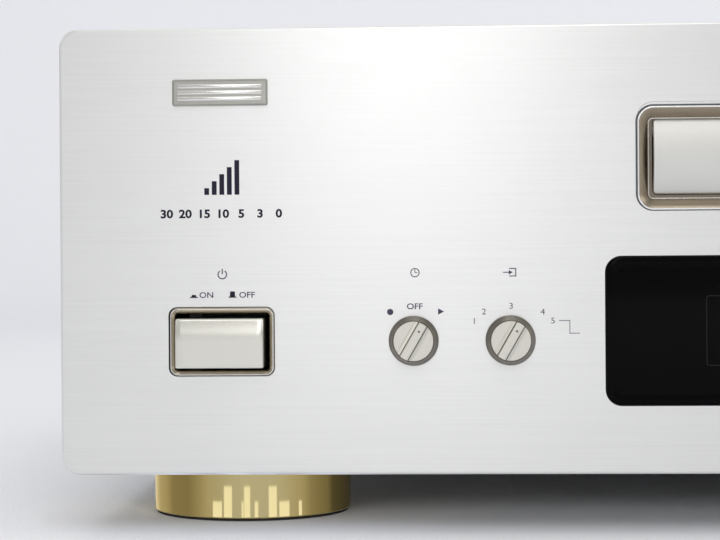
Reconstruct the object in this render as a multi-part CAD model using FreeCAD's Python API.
import FreeCAD, Part
import math
import os

# Mini disc deck, hi-fi width. Millimetres.
# +X is to the right of someone facing the deck, +Y to its back, +Z up.
# The origin is on the surface that the deck stands on, at the middle of its box, knobs and jacks included.

# --- case -----------------------------------------------------------------------------------------
PANEL_W = 434.0          # front panel width
PANEL_H = 106.0          # front panel height
PANEL_T = 5.0            # front panel thickness
PANEL_CORNER = 4.5       # corner radius of the front panel, seen from the front
PANEL_EDGE = 0.7         # round-over along the front edge
FOOT_CLEAR = 15.0        # from the ground to the underside of the front panel
CASE_DEPTH = 320.0       # from the panel's face to the rear panel's outer face
COVER_T = 1.0            # top cover sheet
COVER_INSET = 2.0        # the cover's side lies this far inside the panel's end
COVER_DROP = 3.0         # the cover's top lies this far under the panel's top
COVER_BEND = 3.0         # outer bend radius of the cover
COVER_LIP = 14.0         # the cover's rear edge is folded down by this much
CHASSIS_T = 1.2          # chassis and rear panel sheet
CHASSIS_LIFT = 1.0       # chassis underside above the panel's underside
FLANGE_H = 12.0          # turned-up edge of the chassis
SUB_T = 2.5              # moulded sub-panel behind the front panel
SUB_MARGIN = 5.0         # the sub-panel is this much smaller than the front panel, all round
SLIP = 0.2               # clearance between pieces that only fit into each other
REAR_REACH = 9.0         # phono jacks stand this far out of the rear panel
RECORD_KNOB_REACH = 16.0  # the record level knob stands this far out of the panel

FACE_Y = (RECORD_KNOB_REACH - CASE_DEPTH - REAR_REACH) / 2
BACK_Y = FACE_Y + PANEL_T
SUB_Y = BACK_Y + SUB_T
REAR_Y = FACE_Y + CASE_DEPTH
PANEL_Z = FOOT_CLEAR
PANEL_TOP = PANEL_Z + PANEL_H
CHASSIS_Z = PANEL_Z + CHASSIS_LIFT
FLOOR_Z = CHASSIS_Z + CHASSIS_T
COVER_X = PANEL_W / 2 - COVER_INSET
COVER_TOP = PANEL_TOP - COVER_DROP
CHASSIS_X = COVER_X - COVER_T - SLIP
REAR_IN_Y = REAR_Y - CHASSIS_T

# --- feet -----------------------------------------------------------------------------------------
FOOT_R = 26.0
FOOT_INSET = 40.0        # foot centres in from the panel's ends
FOOT_FRONT = 55.0        # front foot centres behind the panel's face
FOOT_REAR = 48.0         # rear foot centres ahead of the rear panel
FOOT_WALL = 3.4          # rim of the hollow underside
FOOT_WEB = 6.0           # solid top of the foot
PAD_PROUD = 1.0          # the pad stands this far out of the foot
PAD_SUNK = 0.8           # and is let in by this much
PAD_INSET = 0.7          # the pad's edge inside the foot's edge
FOOT_HUB_R = 6.0
FOOT_SCREW_R = 2.0
FOOT_HEAD_R = 4.0
FOOT_HEAD_H = 2.6
FOOT_SCREW_TAIL = 3.0    # the foot screws stand this far into the case

FOOT_X = PANEL_W / 2 - FOOT_INSET

# --- power switch ---------------------------------------------------------------------------------
LOW_ROW_Z = PANEL_Z + 31.6   # height of the power button, the knobs and the phones controls
END_INSET = 38.5             # power button, badge and record level knob in from the panel's ends
POWER_X = END_INSET - PANEL_W / 2
POWER_RING_W = 24.9
POWER_RING_H = 16.1
POWER_RING_CORNER = 1.9
POWER_RING_BAND = 1.1        # visible width of the ring
POWER_RING_PROUD = 0.5
POWER_RING_DEPTH = 26.0      # the ring's tunnel, from the panel's face to the switch
POWER_CAP_GAP = 0.9          # between cap and tunnel
POWER_CAP_PROUD = 5.6
POWER_CAP_CROWN = 1.2        # how much the cap's top edge is set back
POWER_CAP_LENGTH = 18.0
POWER_TRAVEL = 3.5
POWER_STEM = 5.0
SWITCH_W = 16.0
SWITCH_DEPTH = 22.0

# --- pointer knobs --------------------------------------------------------------------------------
KNOB_PITCH = 22.8            # between the two knobs of a pair
KNOB_SIDE = 22.4             # the nearer knob's axis out from the display window's end
KNOB_BASE_R = 5.9
KNOB_FACE_R = 4.75
KNOB_LIFT = 0.4              # gap between knob and panel
KNOB_FACE = 4.2              # height of the knob's flat face over the panel
KNOB_BAR = 1.6               # height of the grip bar over that face
KNOB_BAR_W = 2.1
KNOB_SCOOP_R = 4.2           # hollow on either side of the grip bar
KNOB_SCOOP = 0.9             # and its depth
KNOB_SHAFT_R = 2.0
KNOB_SHAFT_DEPTH = 3.0       # how far the shaft goes into the knob
KNOB_PANEL_HOLE = 3.6        # radius of the hole for shaft and bush
BUSH_R = 3.4
BUSH_SET = 1.0               # the bush ends this far behind the panel's face
SHAFT_BEHIND = 8.0           # shafts end this far behind the sub-panel
ROTARY_W = 16.0              # rotary switch and level control bodies
ROTARY_DEPTH = 11.0
ENCODER_W = 14.0
TIMER_ANGLE = 30.0           # each pointer stands this far clockwise of upright
INPUT_ANGLE = 30.0
PHONES_ANGLE = -40.0

# --- disc door ------------------------------------------------------------------------------------
DOOR_RING_W = 160.4
DOOR_RING_H = 25.2
DOOR_RING_CORNER = 3.7
DOOR_RING_PROUD = 0.4
DOOR_Z = PANEL_Z + 74.6      # height of the door's middle
DOOR_FUNNEL_DEPTH = 6.0      # the ring slopes in down to this depth
DOOR_FUNNEL_W = 2.85         # and is this wide there
DOOR_TUNNEL_DEPTH = 24.0     # from the panel's face to the slot plate
DOOR_WALL = 1.6
DOOR_GAP = 0.9
DOOR_SET = 2.0               # the door's edges lie this far behind the panel's face
DOOR_BULGE = 2.2             # the door's middle stands this far ahead of its edges
DOOR_T = 1.8
DOOR_CORNER = 0.9
DOOR_PIN_R = 1.0
DOOR_PIN_GAP = 0.05
DOOR_PIN_DROP = 2.0          # pin axis under the door's top edge
DOOR_PIN_SET = 6.0           # pin axis behind the panel's face
DOOR_EAR = 2.2               # thickness of the door's pin ears
DOOR_EAR_R = 2.0
SPRING_WIRE = 0.5
SPRING_TURNS = 6
SPRING_LEG = 8.0

# --- display --------------------------------------------------------------------------------------
WINDOW_W = 175.6
WINDOW_H = 34.9
WINDOW_CORNER = 3.7
WINDOW_Z = PANEL_Z + 33.65
WINDOW_PROUD = 0.5
WINDOW_LIP = 3.0             # flange behind the panel
WINDOW_LIP_T = 2.0
TUBE_W = 128.0
TUBE_H = 26.0
TUBE_T = 7.0
TUBE_STAND = 1.0             # behind the tube, filled by its lead rail
TUBE_NIB_R = 1.6
TUBE_NIB_L = 5.0
BOARD_T = 1.6
DISPLAY_BOARD_Y = 19.0       # front of the display and key boards, behind the panel's face
SENSOR_INSET = 10.8          # remote sensor in from the window's end
SENSOR_W = 8.0
SENSOR_T = 5.0
SENSOR_DROP = 9.5            # and below the window's middle
SENSOR_LENS_R = 2.8
CHIP_T = 3.0
POST_R = 2.0                 # posts that carry boards and wheels

INPUT_X = -(WINDOW_W / 2 + KNOB_SIDE)
TIMER_X = INPUT_X - KNOB_PITCH
JACK_X = WINDOW_W / 2 + KNOB_SIDE
PHONES_X = JACK_X + KNOB_PITCH
SENSOR_X = SENSOR_INSET - WINDOW_W / 2

# --- keys, dial, levels and phones jack -----------------------------------------------------------
DIAL_INSET = 33.0            # dial axis in from the panel's end
DIAL_X = PANEL_W / 2 - DIAL_INSET
DIAL_Z = PANEL_Z + 74.0
KEY_PITCH = 21.0
KEY_ROW_PITCH = 16.0
KEY_SIDE = 30.0              # from the last column to the dial's axis
KEY_COLUMNS = [DIAL_X - KEY_SIDE - k * KEY_PITCH for k in (2, 1, 0)]
KEY_ROWS = (DIAL_Z + KEY_ROW_PITCH / 2, DIAL_Z - KEY_ROW_PITCH / 2)
KEY_NAMES = (("stop_key", "pause_key", "play_key"), ("eject_key", "record_key", "mode_key"))
KEY_W = 16.0
KEY_H = 8.5
KEY_CORNER = 1.6
KEY_PROUD = 2.6
KEY_GAP = 0.3
KEY_EDGE = 0.5
KEY_LIP = 1.2                # collar behind the sub-panel
KEY_LIP_T = 1.6
KEY_LIP_GAP = 0.5            # between collar and sub-panel
KEY_TRAVEL = 0.8
KEY_STEM_R = 1.5
KEY_STEM = 3.2
TACT_W = 6.0
TACT_T = 3.4
TACT_R = 1.7
DIAL_R = 13.0
DIAL_REACH = 11.0
DIAL_SHAFT_DEPTH = 7.0       # how far the shaft goes into the dial and the record level knob
DIMPLE_R = 5.2               # ball that hollows the dial's finger dimple
DIMPLE_UP = 4.0              # its centre ahead of the dial's face
DIMPLE_OUT = 6.5             # and above the dial's axis
RECORD_X = PANEL_W / 2 - END_INSET
RECORD_Z = PANEL_Z + 34.0
RECORD_R = 15.0
RECORD_ANGLE = -60.0
POINTER_W = 1.0
POINTER_L = 6.5
FLUTES = 36
FLUTE_R = 0.55
JACK_RING_R = 5.9
JACK_RING_PROUD = 1.2
JACK_SLEEVE_R = 4.9
JACK_BORE_R = 3.25
JACK_DEPTH = 30.0
JACK_W = 14.0
JACK_BACK_T = 4.0            # body behind the bore's end

# --- badge ----------------------------------------------------------------------------------------
BADGE_X = POWER_X
BADGE_Z = PANEL_Z + 90.6
BADGE_W = 22.6
BADGE_H = 6.2
BADGE_T = 1.1
BADGE_BEVEL = 0.35
BADGE_BARS = 3
BADGE_BAR_H = 0.55
BADGE_BAR_PITCH = 1.32
BADGE_BAR_T = 0.2
BADGE_BAR_INSET = 1.6

# --- loading mechanism ----------------------------------------------------------------------------
CARTRIDGE_W = 72.0
CARTRIDGE_D = 68.0
CARTRIDGE_T = 5.0
SLOT_Z = PANEL_Z + 70.0      # middle of the cartridge as it goes in
SLOT_PLATE_T = 4.0
SLOT_MARGIN = 0.8            # slot round the cartridge
HOLDER_FRONT = 31.0          # holder's front edge behind the panel's face
HOLDER_D = 62.0
HOLDER_T = 1.0
HOLDER_MARGIN = 0.4          # holder round the cartridge
HOLDER_LIP = 8.0
HOLDER_WINDOW = 16.0         # opening for lens and head, along Y
LOWER_TRAVEL = 5.0           # the holder sinks by this much
SLIDER_TRAVEL = 16.0
SLIDER_REAR_SET = 4.0        # the slider's rear end lies this far inside the frame at rest
SLIDER_BAR = 6.0
SLIDER_T = 1.2
SLIDER_GAP = 1.6             # between holder and slider wall
PIN_R = 1.2
PIN_GAP = 0.15
PIN_OFFSET = 16.0            # holder pins ahead of and behind the spindle
FRAME_T = 1.2
FRAME_GAP = 1.4              # between slider wall and frame wall
FRAME_FRONT = 36.0           # frame ahead of the spindle
FRAME_REAR = 58.0            # frame behind the spindle
FRAME_POST = 14.0            # wall left at each end of the frame's windows
FRAME_RAIL = 8.0             # wall left above and below them
TAB_SET = 4.0                # front and rear slider guides lie this far inside the frame's ends
TAB_L = 5.0
DECK_Z = PANEL_Z + 47.0      # top of the frame's cross plate
FRAME_TOP = PANEL_Z + 77.0
MODULE = 0.8
ADDENDUM = 0.75              # tooth height over the pitch line, in modules
DEDENDUM = 1.15
BACKLASH = 0.14
GEAR_TEETH = 30
PINION_TEETH = 12
SLED_TEETH = 20
GEAR_T = 3.0
GEAR_Z = DECK_Z + 9.0        # underside of the loading gears
GEAR_X = -23.0
GEAR_SHIFT_Y = 12.0          # loading gear behind the spindle
RUN_GAP = 0.06               # radial running clearance
SPINDLE_R = 1.0
TURNTABLE_R = 8.0
TURNTABLE_T = 2.0
TURNTABLE_TOP = SLOT_Z - CARTRIDGE_T / 2 - 3.0
SPINDLE_MOTOR_R = 12.0
SPINDLE_MOTOR_T = 5.0
SLED_X = 15.5                # lens distance from the spindle, at the innermost track
SLED_TRAVEL = 15.5
SLED_HALF = 8.5
SLED_Y = 18.0
SLED_Z = DECK_Z + 6.0
SLED_T = 6.5
ROD_R = 1.5
ROD_Y = 14.5
ROD_X = 3.0                  # inner ends of the rods
SLED_GEAR_X = 21.0
LENS_R = 2.6
ARM_PIVOT_Y = 40.0           # head arm pivot behind the spindle
ARM_PIVOT_RISE = 9.0         # and over the middle of the raised cartridge
ARM_LIFT = 10.0              # degrees that the head arm stands up while unloaded
ARM_W = 5.0
ARM_T = 1.2
HEAD_W = 6.0
MOTOR_R = 9.0
MOTOR_T = 12.0
MOTOR_BOSS_R = 2.0

SPINDLE_Y = FACE_Y + HOLDER_FRONT + CARTRIDGE_D / 2
HOLDER_Y = FACE_Y + HOLDER_FRONT
HOLDER_IN = CARTRIDGE_W / 2 + HOLDER_MARGIN
HOLDER_OUT = HOLDER_IN + HOLDER_T
SLIDER_IN = HOLDER_OUT + SLIDER_GAP
SLIDER_OUT = SLIDER_IN + SLIDER_T
FRAME_IN = SLIDER_OUT + FRAME_GAP
FRAME_OUT = FRAME_IN + FRAME_T
FRAME_SIDES = ((-FRAME_OUT, -FRAME_IN), (FRAME_IN, FRAME_OUT))
SLIDER_BOTTOM = DECK_Z + 14.2
SLIDER_TOP = SLOT_Z + 6.0
GEAR_Y = SPINDLE_Y + GEAR_SHIFT_Y
GEAR_PITCH = MODULE * GEAR_TEETH / 2
PINION_PITCH = MODULE * PINION_TEETH / 2
SLED_PITCH = MODULE * SLED_TEETH / 2
PINION_Y = GEAR_Y + GEAR_PITCH + PINION_PITCH
RACK_X = GEAR_X - GEAR_PITCH
SLED_RACK_Y = SPINDLE_Y - SLED_Y - MODULE * 1.6
SLED_GEAR_Y = SLED_RACK_Y - SLED_PITCH

# --- electronics and rear jacks -------------------------------------------------------------------
STANDOFF_H = 7.0
STANDOFF_R = 3.5
BOARD_INSET = 13.8           # boards in from the chassis's sides
TRANSFORMER_INSET = 63.8
TRANSFORMER_X = TRANSFORMER_INSET - CHASSIS_X
TRANSFORMER_REAR = 95.0      # its middle in from the rear panel
TRANSFORMER_Y = REAR_Y - TRANSFORMER_REAR
TRANSFORMER_W = 78.0
TRANSFORMER_D = 66.0
TRANSFORMER_H = 60.0
LAMINATION_T = 26.0
BRACKET_H = 4.0              # the core stands on two strips this high
BRACKET_L = 9.0              # that reach this far past its ends
POWER_BOARD_W = 96.0
POWER_BOARD_D = 77.0
POWER_BOARD_FRONT = 95.0     # its front edge in from the panel's face
POWER_BOARD_Y = FACE_Y + POWER_BOARD_FRONT
POWER_BOARD_X = BOARD_INSET - CHASSIS_X
MAIN_BOARD_W = 240.0
MAIN_BOARD_D = 164.8
MAIN_BOARD_REAR = 4.0        # gap between main board and rear panel
MAIN_BOARD_X = CHASSIS_X - BOARD_INSET - MAIN_BOARD_W
MAIN_BOARD_Y = REAR_IN_Y - MAIN_BOARD_REAR - MAIN_BOARD_D
# capacitors: centre from the power board's front left corner, radius, height
CAPACITORS = ((15.0, 17.0, 12.0, 38.0), (43.0, 17.0, 12.0, 38.0), (15.0, 45.0, 9.0, 30.0),
              (38.0, 45.0, 9.0, 30.0), (59.0, 13.0, 6.5, 24.0))
# chips: centre from the main board's front left corner, side
CHIPS = ((50.0, 35.0, 22.0), (100.0, 40.0, 18.0), (150.0, 32.0, 14.0),
         (100.0, 100.0, 20.0), (180.0, 95.0, 16.0))
CHIP_H = 2.4
SMALL_CANS = (130.0, 144.0, 158.0, 172.0, 200.0, 214.0)   # row of small capacitors along the main board
SMALL_CAN_Y = 65.0
SMALL_CAN_R = 5.0
SMALL_CAN_H = 13.0
HEATSINK_H = 40.0
HEATSINK_D = 12.0
HEATSINK_W = 50.0
HEATSINK_BACK_T = 3.0
HEATSINK_EDGE = 6.0          # heat sink in from the power board's left edge
FIN_T = 2.0
HEATSINK_FINS = 7
PHONO_R = 4.15
PHONO_PIN_R = 1.6
PHONO_PITCH = 18.0
PHONO_X = MAIN_BOARD_X + 160.0   # middle of the analogue jack block
PHONO_Z = FLOOR_Z + 32.0
PHONO_FLANGE = 7.0
PHONO_BLOCK_D = 12.0
PHONO_HOLE_GAP = 0.95        # barrel to the panel's hole, mostly filled by the collar
PHONO_COLLAR = 0.8           # the collar is this much larger in radius than the barrel
PHONO_COLLAR_PROUD = 0.3
DIGITAL_X = MAIN_BOARD_X + 60.0  # middle of the digital jack block
DIGITAL_Z = FLOOR_Z + 32.0
OPTICAL_W = 13.0
OPTICAL_H = 10.0
OPTICAL_D = 14.0
OPTICAL_PROUD = 0.8
PLUG_W = 6.0                 # dust plug's grip
PLUG_L = 4.2
OPTICAL_PITCH = 18.0
INLET_X = TRANSFORMER_X
INLET_Z = FLOOR_Z + 30.0
INLET_W = 30.0
INLET_H = 24.0
INLET_FLANGE = 2.5           # flange round the mouth, outside the panel
INLET_FLANGE_T = 1.6
INLET_BACK_T = 2.5
INLET_CORNER = 1.5
INLET_DEPTH = 19.0
INLET_MOUTH_W = 24.0
INLET_MOUTH_H = 16.5
BLADE_W = 2.0
BLADE_H = 4.0
BLADE_L = 12.0
BLADE_PITCH = 14.0
BLADE_DROP = 2.0             # outer blades below the mouth's middle, the centre one above it

# --- cover fixing and vents -----------------------------------------------------------------------
SCREW_R = 1.5
SCREW_HEAD_R = 3.2
SCREW_HEAD_H = 1.8
SCREW_L = 4.0
SCREW_SHANK_R = SCREW_R - 0.05
CROSS_L = 3.8                # screwdriver slots
CROSS_W = 0.7
CROSS_DEPTH = 1.0
COVER_SCREW_Y = (70.0, 270.0)     # side screws behind the panel's face
COVER_SCREW_Z = FLOOR_Z + 6.0
REAR_SCREW_OUTER = CHASSIS_X - 23.8
REAR_SCREW_INNER = 62.0
REAR_SCREW_X = (-REAR_SCREW_OUTER, -REAR_SCREW_INNER, REAR_SCREW_INNER, REAR_SCREW_OUTER)
REAR_SCREW_Z = COVER_TOP - 8.5
VENT_W = 3.0
VENT_L = 34.0
VENT_PITCH = 8.0
VENT_COLUMNS = 13
VENT_REAR = 72.0             # middle of the rear row in from the rear panel
VENT_ROW_PITCH = 43.0
VENT_ROWS = (REAR_Y - VENT_REAR - VENT_ROW_PITCH, REAR_Y - VENT_REAR)
VENT_INSET = 65.0            # middle of each vent field in from the cover's side


# --- small tools ----------------------------------------------------------------------------------
def box(x0, x1, y0, y1, z0, z1):
    return Part.makeBox(x1 - x0, y1 - y0, z1 - z0, FreeCAD.Vector(x0, y0, z0))


def slab(x, z, w, h, y0, y1):
    """Box centred on (x, z) as seen from the front."""
    return box(x - w / 2, x + w / 2, y0, y1, z - h / 2, z + h / 2)


def rod(axis, at, start, end, radius):
    """Cylinder along an axis; at holds the other two coordinates in X, Y, Z order."""
    low = {"x": (start, *at), "y": (at[0], start, at[1]), "z": (*at, start)}[axis]
    way = {"x": (1, 0, 0), "y": (0, 1, 0), "z": (0, 0, 1)}[axis]
    return Part.makeCylinder(radius, end - start, FreeCAD.Vector(*low), FreeCAD.Vector(*way))


def cone_y(x, z, start, end, radius_start, radius_end):
    base, along = FreeCAD.Vector(x, start, z), FreeCAD.Vector(0, 1, 0)
    return Part.makeCone(radius_start, radius_end, end - start, base, along)


def rounded_wire(x, z, w, h, r, y):
    """Rounded rectangle about (x, z) in the plane at y."""
    r = min(r, w / 2 - 0.01, h / 2 - 0.01)
    d = r * (1 - math.sqrt(0.5))
    v = [FreeCAD.Vector(x + i, y, z + j) for i, j in (
        (-w / 2 + r, -h / 2), (w / 2 - r, -h / 2), (w / 2 - d, -h / 2 + d), (w / 2, -h / 2 + r),
        (w / 2, h / 2 - r), (w / 2 - d, h / 2 - d), (w / 2 - r, h / 2), (-w / 2 + r, h / 2),
        (-w / 2 + d, h / 2 - d), (-w / 2, h / 2 - r), (-w / 2, -h / 2 + r), (-w / 2 + d, -h / 2 + d))]
    edges = []
    for k in range(0, 12, 3):
        edges.append(Part.makeLine(v[k], v[k + 1]))
        edges.append(Part.Arc(v[k + 1], v[k + 2], v[(k + 3) % 12]).toShape())
    return Part.Wire(edges)


def plate(x, z, w, h, r, y0, y1):
    """Rounded rectangle seen from the front, from y0 back to y1."""
    return Part.Face(rounded_wire(x, z, w, h, r, y0)).extrude(FreeCAD.Vector(0, y1 - y0, 0))


def funnel(x, z, w, h, r, y0, step, depth):
    """Rounded rectangle that narrows by step on every side from y0 back to y0 + depth."""
    inner = rounded_wire(x, z, w - 2 * step, h - 2 * step, max(r - step, 0.3), y0 + depth)
    return Part.makeLoft([rounded_wire(x, z, w, h, r, y0), inner], True)


def edges_in_plane(shape, y):
    return [e for e in shape.Edges if abs(e.BoundBox.YMin - y) < 1e-6 and abs(e.BoundBox.YMax - y) < 1e-6]


def turned(shape, x, z, degrees):
    """Turns a control clockwise, as its user sees it, about its own axis."""
    shape.rotate(FreeCAD.Vector(x, 0, z), FreeCAD.Vector(0, 1, 0), degrees)
    return shape


def fused(first, *others):
    return first.fuse(list(others)).removeSplitter()


def cut_all(shape, tools):
    return shape.cut(Part.makeCompound(tools))


def group(shapes):
    return Part.makeCompound(list(shapes))


def key_places():
    for row, z in enumerate(KEY_ROWS):
        for column, x in enumerate(KEY_COLUMNS):
            yield KEY_NAMES[row][column], x, z


def foot_places():
    for name, sx, y in (("front_left", -1, FACE_Y + FOOT_FRONT), ("front_right", 1, FACE_Y + FOOT_FRONT),
                        ("rear_left", -1, REAR_Y - FOOT_REAR), ("rear_right", 1, REAR_Y - FOOT_REAR)):
        yield name, sx * FOOT_X, y


# --- front ----------------------------------------------------------------------------------------
def front_openings(y0, y1, extra=0.0):
    """What passes through the front panel, and through the sub-panel with extra room."""
    tools = [plate(POWER_X, LOW_ROW_Z, POWER_RING_W + 2 * (SLIP + extra), POWER_RING_H + 2 * (SLIP + extra),
                   POWER_RING_CORNER + SLIP + extra, y0, y1),
             plate(0, DOOR_Z, DOOR_RING_W + 2 * (SLIP + extra), DOOR_RING_H + 2 * (SLIP + extra),
                   DOOR_RING_CORNER + SLIP + extra, y0, y1)]
    tools += [plate(x, z, KEY_W + 2 * KEY_GAP, KEY_H + 2 * KEY_GAP, KEY_CORNER + KEY_GAP, y0, y1)
              for _, x, z in key_places()]
    shafts = [(x, LOW_ROW_Z) for x in (TIMER_X, INPUT_X, PHONES_X)]
    shafts += [(DIAL_X, DIAL_Z), (RECORD_X, RECORD_Z)]
    tools += [rod("y", at, y0, y1, KNOB_PANEL_HOLE) for at in shafts]
    tools.append(rod("y", (JACK_X, LOW_ROW_Z), y0, y1, JACK_SLEEVE_R + SLIP))
    return tools


def window_plate(grow, y0, y1):
    return plate(0, WINDOW_Z, WINDOW_W + 2 * grow, WINDOW_H + 2 * grow, WINDOW_CORNER + grow, y0, y1)


def front_panel():
    body = plate(0, PANEL_Z + PANEL_H / 2, PANEL_W, PANEL_H, PANEL_CORNER, FACE_Y, BACK_Y)
    body = body.makeFillet(PANEL_EDGE, edges_in_plane(body, FACE_Y))
    window = window_plate(SLIP, FACE_Y, BACK_Y)
    return cut_all(body, front_openings(FACE_Y, BACK_Y) + [window])


def board_posts():
    """Screwed stand-offs that carry the display board and the key board."""
    x, z = WINDOW_W / 2 - 4.0, WINDOW_H / 2 + WINDOW_LIP + POST_R + 1.0
    places = [(sx * x, WINDOW_Z + sz * z) for sx in (-1, 1) for sz in (-1, 1)]
    places += [((KEY_COLUMNS[k] + KEY_COLUMNS[k + 1]) / 2, DIAL_Z) for k in (0, 1)]
    return group([rod("y", at, SUB_Y, FACE_Y + DISPLAY_BOARD_Y, POST_R) for at in places])


def front_subpanel():
    body = plate(0, PANEL_Z + PANEL_H / 2, PANEL_W - 2 * SUB_MARGIN, PANEL_H - 2 * SUB_MARGIN,
                 PANEL_CORNER, BACK_Y, SUB_Y)
    window = window_plate(WINDOW_LIP + SLIP, BACK_Y, SUB_Y)
    return cut_all(body, front_openings(BACK_Y, SUB_Y, extra=0.1) + [window])


def badge_plate():
    body = plate(BADGE_X, BADGE_Z, BADGE_W, BADGE_H, 0.4, FACE_Y - BADGE_T, FACE_Y)
    body = body.makeChamfer(BADGE_BEVEL, edges_in_plane(body, FACE_Y - BADGE_T))
    front, length = FACE_Y - BADGE_T, BADGE_W - 2 * BADGE_BAR_INSET
    middle = (BADGE_BARS - 1) / 2
    bars = []
    for k in range(BADGE_BARS):
        z = BADGE_Z + (k - middle) * BADGE_BAR_PITCH
        bars.append(slab(BADGE_X, z, length, BADGE_BAR_H, front - BADGE_BAR_T, front))
    return fused(body, *bars)


def power_bezel():
    front = FACE_Y - POWER_RING_PROUD
    body = plate(POWER_X, LOW_ROW_Z, POWER_RING_W, POWER_RING_H, POWER_RING_CORNER, front,
                 FACE_Y + POWER_RING_DEPTH)
    body = body.makeFillet(0.4, edges_in_plane(body, front))
    return body.cut(plate(POWER_X, LOW_ROW_Z, POWER_RING_W - 2 * POWER_RING_BAND,
                          POWER_RING_H - 2 * POWER_RING_BAND, POWER_RING_CORNER - 0.7,
                          front, FACE_Y + POWER_RING_DEPTH))


def power_button():
    w = POWER_RING_W - 2 * (POWER_RING_BAND + POWER_CAP_GAP)
    h = POWER_RING_H - 2 * (POWER_RING_BAND + POWER_CAP_GAP)
    front = FACE_Y - POWER_CAP_PROUD
    back = front + POWER_CAP_LENGTH
    top, low = LOW_ROW_Z + h / 2, LOW_ROW_Z - h / 2
    x0 = POWER_X - w / 2
    # side outline: flat lower half, upper half curving back to a softened top edge
    corners = [FreeCAD.Vector(x0, y, z) for y, z in (
        (back, top), (back, low), (front, low), (front, LOW_ROW_Z),
        (front + POWER_CAP_CROWN * 0.25, LOW_ROW_Z + h / 4), (front + POWER_CAP_CROWN, top))]
    outline = [Part.makeLine(corners[k], corners[k + 1]) for k in range(3)]
    outline.append(Part.Arc(*corners[3:6]).toShape())
    outline.append(Part.makeLine(corners[5], corners[0]))
    cap = Part.Face(Part.Wire(outline)).extrude(FreeCAD.Vector(w, 0, 0))
    near = [e for e in cap.Edges if e.BoundBox.YMax < front + POWER_CAP_CROWN + 0.01]
    rim = [e for e in near if e.BoundBox.XLength < 1e-6 or e.BoundBox.ZMin > top - 1e-3
           or e.BoundBox.ZMax < low + 1e-3]
    cap = cap.makeFillet(0.5, rim)
    stem = slab(POWER_X, LOW_ROW_Z, POWER_STEM, POWER_STEM, back, FACE_Y + POWER_RING_DEPTH - SLIP)
    return fused(cap, stem)


def power_switch():
    """Latching mains switch: its moving plunger is taken as part of the button's stem."""
    y = FACE_Y + POWER_RING_DEPTH
    body = slab(POWER_X, LOW_ROW_Z, SWITCH_W, SWITCH_W, y, y + SWITCH_DEPTH)
    room = POWER_STEM + 2 * SLIP
    well = slab(POWER_X, LOW_ROW_Z, room, room, y, y + POWER_TRAVEL + 1.0)
    end = y + SWITCH_DEPTH
    lugs = [slab(POWER_X + i, LOW_ROW_Z, 2.0, 6.0, end, end + 6.0) for i in (-4.0, 4.0)]
    return fused(body.cut(well), *lugs)


def pointer_knob(x, angle):
    """Small conical knob with a grip bar across its face and a dot at the bar's pointing end."""
    base, face = FACE_Y - KNOB_LIFT, FACE_Y - KNOB_FACE
    z = LOW_ROW_Z
    body = cone_y(x, z, face, base, KNOB_FACE_R, KNOB_BASE_R)
    tip = face - KNOB_BAR
    bar = box(x - KNOB_BAR_W / 2, x + KNOB_BAR_W / 2, tip, face, z - KNOB_FACE_R, z + KNOB_FACE_R)
    round_bar = cone_y(x, z, tip, base, KNOB_FACE_R - 0.25, KNOB_BASE_R)
    scoops = [rod("z", (x + side * (KNOB_FACE_R + KNOB_BAR_W / 2) / 2, face + KNOB_SCOOP - KNOB_SCOOP_R),
                  z - KNOB_BASE_R, z + KNOB_BASE_R, KNOB_SCOOP_R) for side in (-1, 1)]
    body = fused(cut_all(body, scoops), bar.common(round_bar))
    body = body.cut(rod("y", (x, z + KNOB_FACE_R - 1.6), tip, tip + 0.3, 0.35))
    body = body.cut(rod("y", (x, z), base - KNOB_SHAFT_DEPTH, base, KNOB_SHAFT_R))
    return turned(body, x, z, angle)


def with_shaft(knob, x, z, depth):
    """The knob, and its control's shaft, which goes into it by depth."""
    shaft = rod("y", (x, z), FACE_Y - KNOB_LIFT - depth, SUB_Y + SHAFT_BEHIND, KNOB_SHAFT_R)
    return group([knob, shaft])


def shaft_bore(x, z):
    return rod("y", (x, z), FACE_Y + BUSH_SET, SUB_Y + SHAFT_BEHIND + 0.5, KNOB_SHAFT_R + RUN_GAP)


def control_body(x, z):
    """Rotary switch or level control with its bush, bored for the shaft."""
    back = SUB_Y + ROTARY_DEPTH
    body = slab(x, z, ROTARY_W, ROTARY_W, SUB_Y, back)
    bush = rod("y", (x, z), FACE_Y + BUSH_SET, SUB_Y, BUSH_R)
    pins = [slab(x + i, z - 5.6, 1.0, 0.8, back, back + 4.0) for i in (-5.0, -2.5, 0.0, 2.5, 5.0)]
    whole = fused(body, bush, *pins)
    return whole.cut(shaft_bore(x, z))


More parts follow.
